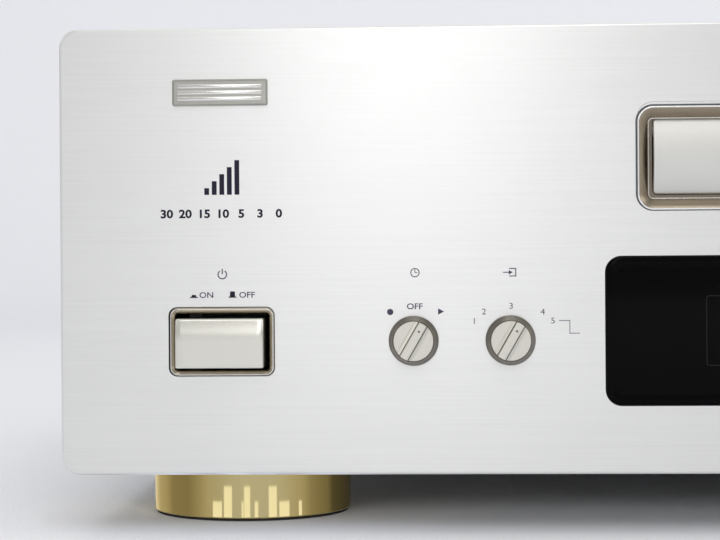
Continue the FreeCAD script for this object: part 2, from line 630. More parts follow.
def door_bezel():
    front = FACE_Y - DOOR_RING_PROUD
    outer = plate(0, DOOR_Z, DOOR_RING_W, DOOR_RING_H, DOOR_RING_CORNER, front, FACE_Y + DOOR_TUNNEL_DEPTH)
    outer = outer.makeFillet(0.35, edges_in_plane(outer, front))
    w, h = DOOR_RING_W - 2 * DOOR_FUNNEL_W, DOOR_RING_H - 2 * DOOR_FUNNEL_W
    rim = 0.5
    depth = DOOR_FUNNEL_DEPTH + DOOR_RING_PROUD
    sloped = funnel(0, DOOR_Z, DOOR_RING_W - 2 * rim, DOOR_RING_H - 2 * rim, DOOR_RING_CORNER - rim, front,
                    DOOR_FUNNEL_W - rim, depth)
    tunnel = plate(0, DOOR_Z, w, h, 1.2, FACE_Y + DOOR_FUNNEL_DEPTH - 0.5, FACE_Y + DOOR_TUNNEL_DEPTH)
    body = outer.cut(sloped).cut(tunnel)
    end = FACE_Y + DOOR_TUNNEL_DEPTH
    lighten = plate(0, DOOR_Z, DOOR_RING_W, DOOR_RING_H, DOOR_RING_CORNER, SUB_Y, end).cut(
        plate(0, DOOR_Z, w + 2 * DOOR_WALL, h + 2 * DOOR_WALL, DOOR_WALL, SUB_Y, end))
    body = body.cut(lighten)
    reach = w / 2 + DOOR_WALL
    return body.cut(rod("x", door_axis(), -reach, reach, DOOR_PIN_R + DOOR_PIN_GAP))


def door_width():
    return DOOR_RING_W - 2 * (DOOR_FUNNEL_W + DOOR_GAP)


def door_height():
    return DOOR_RING_H - 2 * (DOOR_FUNNEL_W + DOOR_GAP)


def door_axis():
    """(y, z) of the door's pins."""
    return FACE_Y + DOOR_PIN_SET, DOOR_Z + door_height() / 2 - DOOR_PIN_DROP


def disc_door():
    w, h = door_width(), door_height()
    edge, x0 = FACE_Y + DOOR_SET, -w / 2
    top, low = DOOR_Z + h / 2, DOOR_Z - h / 2

    def point(y, z):
        return FreeCAD.Vector(x0, y, z)

    def bow(y):
        return Part.Arc(point(y, low), point(y - DOOR_BULGE, DOOR_Z), point(y, top)).toShape()

    outline = [bow(edge), Part.makeLine(point(edge, top), point(edge + DOOR_T, top)), bow(edge + DOOR_T),
               Part.makeLine(point(edge + DOOR_T, low), point(edge, low))]
    shell = Part.Face(Part.Wire(Part.__sortEdges__(outline))).extrude(FreeCAD.Vector(w, 0, 0))
    shell = shell.common(plate(0, DOOR_Z, w, h, DOOR_CORNER, edge - DOOR_BULGE - 1.0, edge + DOOR_T + 1.0))
    pin_y, pin_z = door_axis()
    ears = []
    for x in (-w / 2, w / 2 - DOOR_EAR):
        ears.append(rod("x", (pin_y, pin_z), x, x + DOOR_EAR, DOOR_EAR_R))
        low_z, high_z = pin_z - DOOR_EAR_R, pin_z + DOOR_EAR_R - 0.6
        ears.append(box(x, x + DOOR_EAR, edge + DOOR_T / 2, pin_y, low_z, high_z))
    whole = fused(shell, *ears)
    return whole.cut(rod("x", (pin_y, pin_z), -w / 2, w / 2, DOOR_PIN_R))


def door_pins():
    at, half = door_axis(), door_width() / 2
    outer = half + DOOR_GAP + DOOR_WALL - 0.3
    inner = half - DOOR_EAR - SPRING_WIRE * SPRING_TURNS - SLIP
    return group([rod("x", at, -outer, -inner, DOOR_PIN_R), rod("x", at, inner, outer, DOOR_PIN_R)])


def door_spring():
    """Torsion spring on the left door pin: touching turns and the leg that presses on the door."""
    at = door_axis()
    x0 = DOOR_EAR + SLIP - door_width() / 2
    mean = DOOR_EAR_R - SPRING_WIRE / 2
    pitch = SPRING_WIRE * 0.92
    turns = [Part.makeTorus(mean, SPRING_WIRE / 2, FreeCAD.Vector(x0 + SPRING_WIRE / 2 + k * pitch, *at),
                            FreeCAD.Vector(1, 0, 0)) for k in range(SPRING_TURNS)]
    leg = rod("z", (x0 + SPRING_WIRE / 2, at[0] - mean), at[1] - SPRING_LEG, at[1], SPRING_WIRE / 2)
    return fused(*turns, leg)


def slot_plate():
    y0 = FACE_Y + DOOR_TUNNEL_DEPTH
    y1 = y0 + SLOT_PLATE_T
    body = plate(0, DOOR_Z, DOOR_RING_W, DOOR_RING_H, 2.0, y0, y1)
    w, h = CARTRIDGE_W + 2 * SLOT_MARGIN, CARTRIDGE_T + 2 * SLOT_MARGIN
    mouth = funnel(0, SLOT_Z, w + 3.0, h + 3.0, 1.6, y0, 1.5, 2.0)
    return body.cut(fused(mouth, plate(0, SLOT_Z, w, h, 0.5, y0 + 1.9, y1)))


def display_window():
    front = FACE_Y - WINDOW_PROUD
    body = window_plate(0, front, BACK_Y)
    body = body.makeChamfer(WINDOW_PROUD * 0.8, edges_in_plane(body, front))
    lip = window_plate(WINDOW_LIP, BACK_Y, BACK_Y + WINDOW_LIP_T)
    return fused(body, lip)


def display_tube():
    board = FACE_Y + DISPLAY_BOARD_Y
    back = board - TUBE_STAND
    glass = slab(0, WINDOW_Z, TUBE_W, TUBE_H, board - TUBE_T, back)
    nib = rod("x", ((board - TUBE_T + back) / 2, WINDOW_Z), TUBE_W / 2, TUBE_W / 2 + TUBE_NIB_L, TUBE_NIB_R)
    rail = slab(0, WINDOW_Z - TUBE_H / 2 + 1.0, TUBE_W - 12.0, 2.0, back, board)
    return fused(glass, nib, rail)


def display_board():
    y0 = FACE_Y + DISPLAY_BOARD_Y
    grow = WINDOW_LIP + 2 * POST_R + 2.0
    board = slab(0, WINDOW_Z, WINDOW_W, WINDOW_H + 2 * grow, y0, y0 + BOARD_T)
    sensor_z = WINDOW_Z - SENSOR_DROP
    sensor = slab(SENSOR_X, sensor_z, SENSOR_W, SENSOR_W, y0 - SENSOR_T, y0)
    lens = Part.makeSphere(SENSOR_LENS_R, FreeCAD.Vector(SENSOR_X, y0 - SENSOR_T, sensor_z))
    chip = slab(0, WINDOW_Z, 40.0, 20.0, y0 + BOARD_T, y0 + BOARD_T + CHIP_T)
    return group([board, fused(sensor, lens), chip])


def function_key(x, z):
    front, collar = FACE_Y - KEY_PROUD, SUB_Y + KEY_LIP_GAP
    cap = plate(x, z, KEY_W, KEY_H, KEY_CORNER, front, collar)
    cap = cap.makeFillet(KEY_EDGE, edges_in_plane(cap, front))
    end = collar + KEY_LIP_T
    lip = plate(x, z, KEY_W + 2 * KEY_LIP, KEY_H + 2 * KEY_LIP, KEY_CORNER, collar, end)
    return fused(cap, lip, rod("y", (x, z), end, end + KEY_STEM, KEY_STEM_R))


def key_board():
    """Board with one small push switch behind each key."""
    y0 = FACE_Y + DISPLAY_BOARD_Y
    x0, x1 = KEY_COLUMNS[0] - KEY_W / 2, DIAL_X + ENCODER_W / 2 + 4.0
    parts = [box(x0, x1, y0, y0 + BOARD_T, KEY_ROWS[1] - KEY_H, KEY_ROWS[0] + KEY_H)]
    plunger = SUB_Y + KEY_LIP_GAP + KEY_LIP_T + KEY_STEM + KEY_TRAVEL + 0.05
    for _, x, z in key_places():
        parts.append(fused(slab(x, z, TACT_W, TACT_W, y0 - TACT_T, y0),
                           rod("y", (x, z), plunger, y0 - TACT_T, TACT_R)))
    return group(parts)


def fluted_knob(x, z, radius, reach):
    """Turned knob with grip flutes round its rim."""
    base, front = FACE_Y - KNOB_LIFT, FACE_Y - reach
    body = cone_y(x, z, front, base, radius - 0.4, radius)
    body = body.makeFillet(1.0, edges_in_plane(body, front))
    flutes = [rod("y", (x + radius * math.cos(a), z + radius * math.sin(a)), front + 2.5, base, FLUTE_R)
              for a in (2 * math.pi * k / FLUTES for k in range(FLUTES))]
    return cut_all(body, flutes + [rod("y", (x, z), base - DIAL_SHAFT_DEPTH, base, KNOB_SHAFT_R)])


def jog_dial():
    body = fluted_knob(DIAL_X, DIAL_Z, DIAL_R, DIAL_REACH)
    front = FACE_Y - DIAL_REACH
    bowl = Part.makeSphere(DIMPLE_R, FreeCAD.Vector(DIAL_X, front - DIMPLE_UP, DIAL_Z + DIMPLE_OUT))
    return body.cut(bowl)


def record_level_knob():
    body = fluted_knob(RECORD_X, RECORD_Z, RECORD_R, RECORD_KNOB_REACH)
    front = FACE_Y - RECORD_KNOB_REACH
    line = slab(RECORD_X, RECORD_Z + RECORD_R - POINTER_L / 2, POINTER_W, POINTER_L, front, front + 0.4)
    return turned(body.cut(line), RECORD_X, RECORD_Z, RECORD_ANGLE)


def jog_encoder():
    body = slab(DIAL_X, DIAL_Z, ENCODER_W, ENCODER_W, SUB_Y, FACE_Y + DISPLAY_BOARD_Y)
    bush = rod("y", (DIAL_X, DIAL_Z), FACE_Y + BUSH_SET, SUB_Y, BUSH_R)
    return fused(body, bush).cut(shaft_bore(DIAL_X, DIAL_Z))


def phones_jack():
    ring = rod("y", (JACK_X, LOW_ROW_Z), FACE_Y - JACK_RING_PROUD, FACE_Y, JACK_RING_R)
    ring = ring.makeFillet(0.5, edges_in_plane(ring, FACE_Y - JACK_RING_PROUD))
    sleeve = rod("y", (JACK_X, LOW_ROW_Z), FACE_Y, SUB_Y, JACK_SLEEVE_R)
    body = slab(JACK_X, LOW_ROW_Z, JACK_W, JACK_W, SUB_Y, FACE_Y + JACK_DEPTH + JACK_BACK_T)
    bore = rod("y", (JACK_X, LOW_ROW_Z), FACE_Y - JACK_RING_PROUD, FACE_Y + JACK_DEPTH, JACK_BORE_R)
    return fused(ring, sleeve, body).cut(bore)


# --- case -----------------------------------------------------------------------------------------
def top_cover():
    end = REAR_Y + COVER_T

    def shell(inset, bend):
        top = COVER_TOP - inset
        body = box(-COVER_X + inset, COVER_X - inset, BACK_Y, end, CHASSIS_Z, top)
        bends = [e for e in body.Edges if e.BoundBox.ZMin > top - 1e-6 and e.BoundBox.YLength > COVER_T]
        return body.makeFillet(bend, bends)

    body = shell(0, COVER_BEND).cut(shell(COVER_T, COVER_BEND - COVER_T))
    lip_x, under = COVER_X - COVER_BEND, COVER_TOP - COVER_T
    body = fused(body, box(-lip_x, lip_x, REAR_Y, end, COVER_TOP - COVER_LIP, under))
    tools = []
    for middle in (VENT_INSET - COVER_X, COVER_X - VENT_INSET):
        for y in VENT_ROWS:
            for k in range(VENT_COLUMNS):
                x = middle + (k - (VENT_COLUMNS - 1) / 2) * VENT_PITCH
                tools += vent(x, y, under)
    tools += [rod("x", (FACE_Y + y, COVER_SCREW_Z), -COVER_X, COVER_X, SCREW_R + SLIP)
              for y in COVER_SCREW_Y]
    tools += [rod("y", (x, REAR_SCREW_Z), REAR_Y, end, SCREW_R + SLIP) for x in REAR_SCREW_X]
    return cut_all(body, tools)


def vent(x, y, under):
    """Round-ended slot through the cover's top."""
    half = (VENT_L - VENT_W) / 2
    straight = box(x - VENT_W / 2, x + VENT_W / 2, y - half, y + half, under, COVER_TOP)
    return [straight] + [rod("z", (x, y + side * half), under, COVER_TOP, VENT_W / 2) for side in (-1, 1)]


def bottom_chassis():
    y0, x = SUB_Y, CHASSIS_X
    body = fused(box(-x, x, y0, REAR_IN_Y, CHASSIS_Z, FLOOR_Z),
                 box(-x, -x + CHASSIS_T, y0, REAR_IN_Y, CHASSIS_Z, FLOOR_Z + FLANGE_H),
                 box(x - CHASSIS_T, x, y0, REAR_IN_Y, CHASSIS_Z, FLOOR_Z + FLANGE_H),
                 box(-x, x, y0, y0 + CHASSIS_T, CHASSIS_Z, FLOOR_Z + FLANGE_H - 6.0),
                 *[rod("z", at, FLOOR_Z, FLOOR_Z + STANDOFF_H, STANDOFF_R) for at in standoff_places()])
    holes = [rod("z", (fx, fy), CHASSIS_Z, FLOOR_Z, FOOT_SCREW_R + SLIP) for _, fx, fy in foot_places()]
    holes += [rod("x", (FACE_Y + y, COVER_SCREW_Z), -x, x, SCREW_R) for y in COVER_SCREW_Y]
    return cut_all(body, holes)


def standoff_places():
    edge = 5.0
    for x, y, w, d in ((POWER_BOARD_X, POWER_BOARD_Y, POWER_BOARD_W, POWER_BOARD_D),
                       (MAIN_BOARD_X, MAIN_BOARD_Y, MAIN_BOARD_W, MAIN_BOARD_D)):
        for px in (x + edge, x + w - edge):
            for py in (y + edge, y + d - edge):
                yield px, py


def rear_panel():
    top = COVER_TOP - COVER_T - SLIP
    body = box(-CHASSIS_X, CHASSIS_X, REAR_IN_Y, REAR_Y, CHASSIS_Z, top)
    corners = [e for e in body.Edges if e.BoundBox.ZMin > top - 1e-6 and e.BoundBox.YLength > 1e-3]
    body = body.makeFillet(COVER_BEND, corners)
    tools = [plate(INLET_X, INLET_Z, INLET_W + 2 * SLIP, INLET_H + 2 * SLIP, 2.0, REAR_IN_Y, REAR_Y)]
    tools += [rod("y", at, REAR_IN_Y, REAR_Y, PHONO_R + PHONO_HOLE_GAP) for at in phono_places()]
    half_w, half_h = OPTICAL_W / 2 + SLIP, OPTICAL_H / 2 + SLIP
    tools += [box(x - half_w, x + half_w, REAR_IN_Y, REAR_Y, DIGITAL_Z - half_h, DIGITAL_Z + half_h)
              for x in optical_places()]
    tools += [rod("y", (x, REAR_SCREW_Z), REAR_IN_Y, REAR_Y, SCREW_R) for x in REAR_SCREW_X]
    return cut_all(body, tools)


def foot_shell(x, y):
    body = rod("z", (x, y), PAD_PROUD, CHASSIS_Z, FOOT_R)
    low = [e for e in body.Edges if e.BoundBox.ZMax < PAD_PROUD + 1e-6]
    body = body.makeFillet(0.4, low)
    web = CHASSIS_Z - FOOT_WEB
    hub = rod("z", (x, y), PAD_PROUD, web, FOOT_HUB_R)
    hollow = rod("z", (x, y), PAD_PROUD, web, FOOT_R - FOOT_WALL).cut(hub)
    rebate = rod("z", (x, y), PAD_PROUD, PAD_PROUD + PAD_SUNK, FOOT_R - PAD_INSET + 0.1)
    well = rod("z", (x, y), PAD_PROUD, web, FOOT_HEAD_R + 0.5)
    hole = rod("z", (x, y), web, CHASSIS_Z, FOOT_SCREW_R + SLIP)
    return cut_all(body, [hollow, rebate, well, hole])


def foot_pads():
    """Discs let into the feet; they close the feet's hollow undersides and cover the screws."""
    top, radius = PAD_PROUD + PAD_SUNK, FOOT_R - PAD_INSET
    return group([rod("z", (x, y), 0, top, radius) for _, x, y in foot_places()])


def foot_screws():
    seat, end = CHASSIS_Z - FOOT_WEB, FLOOR_Z + FOOT_SCREW_TAIL
    screws = []
    for _, x, y in foot_places():
        head = rod("z", (x, y), seat - FOOT_HEAD_H, seat, FOOT_HEAD_R)
        screws.append(fused(head, rod("z", (x, y), seat, end, FOOT_SCREW_R)))
    return group(screws)


def cross_slots(axis, at, face, depth):
    """Two crossed slots for a screwdriver, cut from face inwards by depth."""
    low, high = sorted((face, face + depth))
    long, thin = CROSS_L / 2, CROSS_W / 2
    slots = []
    for a, b in ((long, thin), (thin, long)):
        if axis == "x":
            slots.append(box(low, high, at[0] - a, at[0] + a, at[1] - b, at[1] + b))
        else:
            slots.append(box(at[0] - a, at[0] + a, low, high, at[1] - b, at[1] + b))
    return slots


def case_screw(axis, at, seat, way):
    """Pan-headed screw whose head sits on seat and stands out towards way, +1 or -1."""
    top, tail = seat + way * SCREW_HEAD_H, seat - way * SCREW_L
    head = rod(axis, at, *sorted((seat, top)), SCREW_HEAD_R)
    shank = rod(axis, at, *sorted((tail, seat)), SCREW_SHANK_R)
    return cut_all(fused(head, shank), cross_slots(axis, at, top, -way * CROSS_DEPTH))


def case_screws():
    screws = []
    for side in (-1, 1):
        for y in COVER_SCREW_Y:
            screws.append(case_screw("x", (FACE_Y + y, COVER_SCREW_Z), side * COVER_X, side))
    for x in REAR_SCREW_X:
        screws.append(case_screw("y", (x, REAR_SCREW_Z), REAR_Y + COVER_T, 1))
    return group(screws)


# --- electronics and rear jacks -------------------------------------------------------------------
def core_sizes():
    """Limb spacing, window width, low and high edge of the windows, all from the core's outside."""
    pitch, opening = TRANSFORMER_W / 4, TRANSFORMER_W / 6
    yoke = (TRANSFORMER_H - BRACKET_H) / 5
    return pitch, opening, FLOOR_Z + BRACKET_H + yoke, FLOOR_Z + TRANSFORMER_H - yoke


def transformer_core():
    x, y, z = TRANSFORMER_X, TRANSFORMER_Y, FLOOR_Z
    half, deep = TRANSFORMER_W / 2, LAMINATION_T / 2
    pitch, opening, low, high = core_sizes()
    core = box(x - half, x + half, y - deep, y + deep, z + BRACKET_H, z + TRANSFORMER_H)
    windows = [box(x + s * pitch - opening / 2, x + s * pitch + opening / 2, y - deep, y + deep, low, high)
               for s in (-1, 1)]
    reach = half + BRACKET_L
    brackets = [box(x - reach, x + reach, y + s * deep - 1.0, y + s * deep + 1.0, z, z + BRACKET_H)
                for s in (-1, 1)]
    return fused(cut_all(core, windows), *brackets)


def transformer_coil():
    """Winding round the middle limb, standing clear of the outer limbs."""
    x, y = TRANSFORMER_X, TRANSFORMER_Y
    pitch, opening, low, high = core_sizes()
    outer, deep = pitch + opening / 2 - SLIP, TRANSFORMER_D / 2
    body = box(x - outer, x + outer, y - deep, y + deep, low + SLIP, high - SLIP)
    upright = [e for e in body.Edges if e.BoundBox.ZLength > 5]
    body = body.makeFillet(6.0, upright)
    limb, stack = pitch - opening / 2 + SLIP, LAMINATION_T / 2 + SLIP
    return body.cut(box(x - limb, x + limb, y - stack, y + stack, low, high))


def board_top():
    return FLOOR_Z + STANDOFF_H + BOARD_T


def power_board():
    x0, y0, z = POWER_BOARD_X, POWER_BOARD_Y, board_top()
    x1, y1 = x0 + POWER_BOARD_W, y0 + POWER_BOARD_D
    parts = [box(x0, x1, y0, y1, z - BOARD_T, z)]
    for x, y, r, h in CAPACITORS:
        can = rod("z", (x0 + x, y0 + y), z, z + h, r)
        parts.append(can.makeFillet(1.0, [e for e in can.Edges if e.BoundBox.ZMin > z + h - 1e-6]))
    left, rear, top = x0 + HEATSINK_EDGE, y1 - 2.0, z + HEATSINK_H
    step = (HEATSINK_W - FIN_T) / (HEATSINK_FINS - 1)
    fins = [box(left + k * step, left + k * step + FIN_T, rear - HEATSINK_D, rear, z, top)
            for k in range(HEATSINK_FINS)]
    spine = box(left, left + HEATSINK_W, rear - HEATSINK_D, rear - HEATSINK_D + HEATSINK_BACK_T, z, top)
    parts.append(fused(spine, *fins))
    return group(parts)


def main_board():
    x0, y0, z = MAIN_BOARD_X, MAIN_BOARD_Y, board_top()
    parts = [box(x0, x0 + MAIN_BOARD_W, y0, y0 + MAIN_BOARD_D, z - BOARD_T, z)]
    for x, y, w in CHIPS:
        parts.append(box(x0 + x - w / 2, x0 + x + w / 2, y0 + y - w / 2, y0 + y + w / 2, z, z + CHIP_H))
    for x in SMALL_CANS:
        parts.append(rod("z", (x0 + x, y0 + SMALL_CAN_Y), z, z + SMALL_CAN_H, SMALL_CAN_R))
    return group(parts)


def phono_places():
    return [(PHONO_X + k * PHONO_PITCH, PHONO_Z) for k in (-1.5, -0.5, 0.5, 1.5)]


def phono_jacks():
    """Four phono sockets on one moulded block; a collar on each fills its hole in the rear panel."""
    half, front = PHONO_PITCH * 2, REAR_IN_Y - PHONO_BLOCK_D
    block = box(PHONO_X - half, PHONO_X + half, front, REAR_IN_Y, board_top(), PHONO_Z + PHONO_FLANGE)
    seat, end = REAR_Y + PHONO_COLLAR_PROUD, REAR_Y + REAR_REACH
    collars = [rod("y", at, REAR_IN_Y, seat, PHONO_R + PHONO_COLLAR) for at in phono_places()]
    barrels = [rod("y", at, seat, end, PHONO_R) for at in phono_places()]
    wells = [rod("y", at, REAR_IN_Y - PHONO_BLOCK_D / 2, end, PHONO_PIN_R) for at in phono_places()]
    return cut_all(fused(block, *collars, *barrels), wells)


def optical_places():
    return [DIGITAL_X + k * OPTICAL_PITCH for k in (-1, 0, 1)]


def optical_jacks():
    """Three optical sockets, each closed by its dust plug."""
    parts = []
    face, low = REAR_Y + OPTICAL_PROUD, DIGITAL_Z - OPTICAL_H / 2
    for x in optical_places():
        body = slab(x, DIGITAL_Z, OPTICAL_W, OPTICAL_H, REAR_IN_Y - OPTICAL_D, face)
        leg = box(x - 4.0, x + 4.0, REAR_IN_Y - OPTICAL_D + 2.0, REAR_IN_Y - 3.0, board_top(), low)
        plug = slab(x, DIGITAL_Z, PLUG_W, PLUG_W, face, face + PLUG_L)
        parts.append(fused(body, leg, plug))
    return group(parts)


def mains_inlet():
    y1 = REAR_Y + INLET_FLANGE_T
    floor, margin = y1 - INLET_DEPTH, INLET_FLANGE
    flange = plate(INLET_X, INLET_Z, INLET_W + 2 * margin, INLET_H + 2 * margin, margin, REAR_Y, y1)
    body = plate(INLET_X, INLET_Z, INLET_W, INLET_H, INLET_CORNER, floor - INLET_BACK_T, REAR_Y)
    mouth = plate(INLET_X, INLET_Z, INLET_MOUTH_W, INLET_MOUTH_H, INLET_CORNER, floor, y1)
    blades = [slab(INLET_X + i * BLADE_PITCH / 2, INLET_Z + j, BLADE_W, BLADE_H, floor, floor + BLADE_L)
              for i, j in ((-1, -BLADE_DROP), (0, BLADE_DROP), (1, -BLADE_DROP))]
    return fused(fused(flange, body).cut(mouth), *blades)


# --- loading mechanism ----------------------------------------------------------------------------
def involute(angle):
    return math.tan(angle) - angle


def gear(teeth, bore, z0, z1, x, y, first_tooth):
    """Spur gear about +Z with involute flanks; first_tooth is one tooth's direction in radians."""
    pitch = MODULE * teeth / 2
    base, tip = pitch * math.cos(math.radians(20)), pitch + ADDENDUM * MODULE
    root = pitch - DEDENDUM * MODULE
    half = math.pi / (2 * teeth) - BACKLASH / (2 * pitch) + involute(math.radians(20))
    radii = [max(base, root) + (tip - max(base, root)) * k / 3 for k in range(4)]
    flank = [(root, half)] if root < base else []
    flank += [(r, half - involute(math.acos(min(1.0, base / r)))) for r in radii]
    points = []
    for k in range(teeth):
        middle = first_tooth + 2 * math.pi * k / teeth
        points += [(r, middle - a) for r, a in flank] + [(r, middle + a) for r, a in reversed(flank)]
    loop = [FreeCAD.Vector(x + r * math.cos(a), y + r * math.sin(a), z0) for r, a in points]
    body = Part.Face(Part.makePolygon(loop + loop[:1])).extrude(FreeCAD.Vector(0, 0, z1 - z0))
    return body.cut(rod("z", (x, y), z0, z1, bore))


def rack_outline(first, count):
    """(along, out) points of a toothed strip: out runs from the pitch line towards the gear.

    first is where the middle of the first tooth lies along the strip.
    """
    slope = math.tan(math.radians(20))
    step, half = math.pi * MODULE, math.pi * MODULE / 4 - BACKLASH / 2
    top, low = ADDENDUM * MODULE, -DEDENDUM * MODULE
    points = []
    for k in range(count):
        m = first + k * step
        left, right = m - half, m + half
        points += [(left + low * slope, low), (left + top * slope, top)]
        points += [(right - top * slope, top), (right - low * slope, low)]
    return points


def strip(points, back, place, z0, z1):
    """Rack outline with a straight back, drawn upwards; place turns (along, out) into (x, y)."""
    ends = [(points[-1][0], back), (points[0][0], back)]
    loop = [FreeCAD.Vector(*place(a, o), z0) for a, o in points + ends]
    return Part.Face(Part.makePolygon(loop + loop[:1])).extrude(FreeCAD.Vector(0, 0, z1 - z0))


def slot_solid(x0, x1, start, end, width):
    """Round-ended slot through a wall that stands across X; start and end are (y, z) of its ends."""
    (ya, za), (yb, zb) = start, end
    length = math.hypot(yb - ya, zb - za)
    ny, nz = -(zb - za) / length * width / 2, (yb - ya) / length * width / 2
    corners = [(ya + ny, za + nz), (yb + ny, zb + nz), (yb - ny, zb - nz), (ya - ny, za - nz)]
    loop = [FreeCAD.Vector(x0, y, z) for y, z in corners]
    body = Part.Face(Part.makePolygon(loop + loop[:1])).extrude(FreeCAD.Vector(x1 - x0, 0, 0))
    return fused(body, rod("x", start, x0, x1, width / 2), rod("x", end, x0, x1, width / 2))


def pin_rows():
    return (SPINDLE_Y - PIN_OFFSET, SPINDLE_Y + PIN_OFFSET)


def rod_places():
    """(y, z) of the two rods that the sled runs on."""
    return [(SPINDLE_Y + s * ROD_Y, SLED_Z + SLED_T / 2) for s in (-1, 1)]


def motor_places():
    return [(GEAR_X, PINION_Y), (SLED_GEAR_X, SLED_GEAR_Y)]


def mech_frame():
    y0, y1 = SPINDLE_Y - FRAME_FRONT, SPINDLE_Y + FRAME_REAR
    walls = [box(x0, x1, y0, y1, FLOOR_Z, FRAME_TOP) for x0, x1 in FRAME_SIDES]
    deck = box(-FRAME_IN, FRAME_IN, y0, y1, DECK_Z - FRAME_T, DECK_Z)
    feet = [box(-FRAME_OUT - 8.0, -FRAME_IN, y0, y1, FLOOR_Z, FLOOR_Z + FRAME_T),
            box(FRAME_IN, FRAME_OUT + 8.0, y0, y1, FLOOR_Z, FLOOR_Z + FRAME_T)]
    tabs = []
    for s in (-1, 1):
        for y in (y0 + TAB_SET, y1 - TAB_SET - TAB_L - SLIDER_REAR_SET):
            x = sorted((s * SLIDER_IN, s * FRAME_IN))
            top = SLIDER_BOTTOM - SLIP
            tabs.append(box(*x, y, y + TAB_L, top - FRAME_T, top))
    ends = [box(ROD_X, ROD_X + 2.0, y - 2.4, y + 2.4, DECK_Z, SLED_Z + SLED_T) for y, _ in rod_places()]
    posts = [rod("z", (GEAR_X, GEAR_Y), DECK_Z, GEAR_Z + GEAR_T, POST_R),
             rod("z", (GEAR_X, GEAR_Y), DECK_Z, GEAR_Z - SLIP, POST_R + 2.0)]
    body = fused(*walls, deck, *feet, *tabs, *ends, *posts)
    cuts = [slot_solid(x0, x1, (y, SLOT_Z), (y, SLOT_Z - LOWER_TRAVEL), 2 * (PIN_R + PIN_GAP))
            for y in pin_rows() for x0, x1 in FRAME_SIDES]
    cuts += [rod("x", at, ROD_X, FRAME_OUT, ROD_R) for at in rod_places()]
    cuts += [rod("z", at, DECK_Z - FRAME_T, DECK_Z, MOTOR_BOSS_R) for at in motor_places()]
    windows = [box(-FRAME_OUT, FRAME_OUT, y0 + FRAME_POST, y1 - FRAME_POST, FLOOR_Z + FRAME_RAIL,
                   DECK_Z - FRAME_RAIL)]
    return cut_all(body, cuts + windows)


def disc_holder():
    """Sheet-metal sleeve for the cartridge: side walls, part of a roof, two lips under its edges."""
    y0, y1 = HOLDER_Y, HOLDER_Y + HOLDER_D
    low, high = SLOT_Z - CARTRIDGE_T / 2 - HOLDER_MARGIN, SLOT_Z + CARTRIDGE_T / 2 + HOLDER_MARGIN
    body = box(-HOLDER_OUT, HOLDER_OUT, y0, y1, low - HOLDER_T, high + HOLDER_T)
    lip_in = HOLDER_IN - HOLDER_LIP
    half = HOLDER_WINDOW / 2
    cuts = [box(-HOLDER_IN, HOLDER_IN, y0, y1, low, high),
            box(-lip_in, lip_in, y0, y1, low - HOLDER_T, low),
            box(8.0, HOLDER_IN, SPINDLE_Y - half, SPINDLE_Y + half, high, high + HOLDER_T),
            box(lip_in, HOLDER_IN, SPINDLE_Y - half, SPINDLE_Y + half, low - HOLDER_T, low)]
    pins = []
    for y in pin_rows():
        pins.append(rod("x", (y, SLOT_Z), -FRAME_OUT, -HOLDER_IN, PIN_R))
        pins.append(rod("x", (y, SLOT_Z), HOLDER_IN, FRAME_OUT, PIN_R))
    return fused(cut_all(body, cuts), *pins)


def loading_slider():
    """Two walls with sloping slots and a bar behind the holder; the left wall carries the rack."""
    y0, y1 = SPINDLE_Y - FRAME_FRONT + 1.0, SPINDLE_Y + FRAME_REAR - SLIDER_REAR_SET
    walls = [box(-SLIDER_OUT, -SLIDER_IN, y0, y1, SLIDER_BOTTOM, SLIDER_TOP),
             box(SLIDER_IN, SLIDER_OUT, y0, y1, SLIDER_BOTTOM, SLIDER_TOP)]
    bar = box(-SLIDER_OUT, SLIDER_OUT, y1 - SLIDER_BAR, y1, SLIDER_BOTTOM, SLIDER_BOTTOM + SLIDER_BAR)
    # the wheel has a tooth at the rack, so the rack has a gap there; its teeth last for the travel
    step = math.pi * MODULE
    ahead = math.ceil(SLIDER_TRAVEL / step) + 1
    points = rack_outline(GEAR_Y + (0.5 - ahead) * step, ahead + 2)
    rack = strip(points, -(SLIDER_OUT + RACK_X), lambda a, o: (RACK_X + o, a), GEAR_Z, GEAR_Z + GEAR_T)
    hanger = box(-SLIDER_OUT, -SLIDER_IN, points[0][0], points[-1][0], GEAR_Z, SLIDER_BOTTOM)
    body = fused(walls[0], walls[1], bar, rack, hanger)
    slots = []
    for y in pin_rows():
        for x0, x1 in ((-SLIDER_OUT, -SLIDER_IN), (SLIDER_IN, SLIDER_OUT)):
            slots.append(slot_solid(x0, x1, (y, SLOT_Z), (y - SLIDER_TRAVEL, SLOT_Z - LOWER_TRAVEL),
                                    2 * (PIN_R + PIN_GAP)))
    return cut_all(body, slots)


def loading_gear():
    # a tooth points at the rack; the wheel meets the pinion between two teeth
    return gear(GEAR_TEETH, POST_R + RUN_GAP, GEAR_Z, GEAR_Z + GEAR_T, GEAR_X, GEAR_Y, math.pi)


def motor_pinion():
    half_step = math.pi / PINION_TEETH
    towards_gear = -math.pi / 2
    # the wheel's tooth nearest to the line of centres decides where the pinion's gap lies
    gear_step = 2 * math.pi / GEAR_TEETH
    lean = (math.pi / 2 - math.pi) % gear_step
    turn = lean * GEAR_TEETH / PINION_TEETH
    body = gear(PINION_TEETH, SPINDLE_R, GEAR_Z, GEAR_Z + GEAR_T, GEAR_X, PINION_Y,
                towards_gear + half_step + turn)
    shaft = rod("z", (GEAR_X, PINION_Y), DECK_Z - FRAME_T - 6.0, GEAR_Z + GEAR_T, SPINDLE_R)
    return fused(body, shaft)


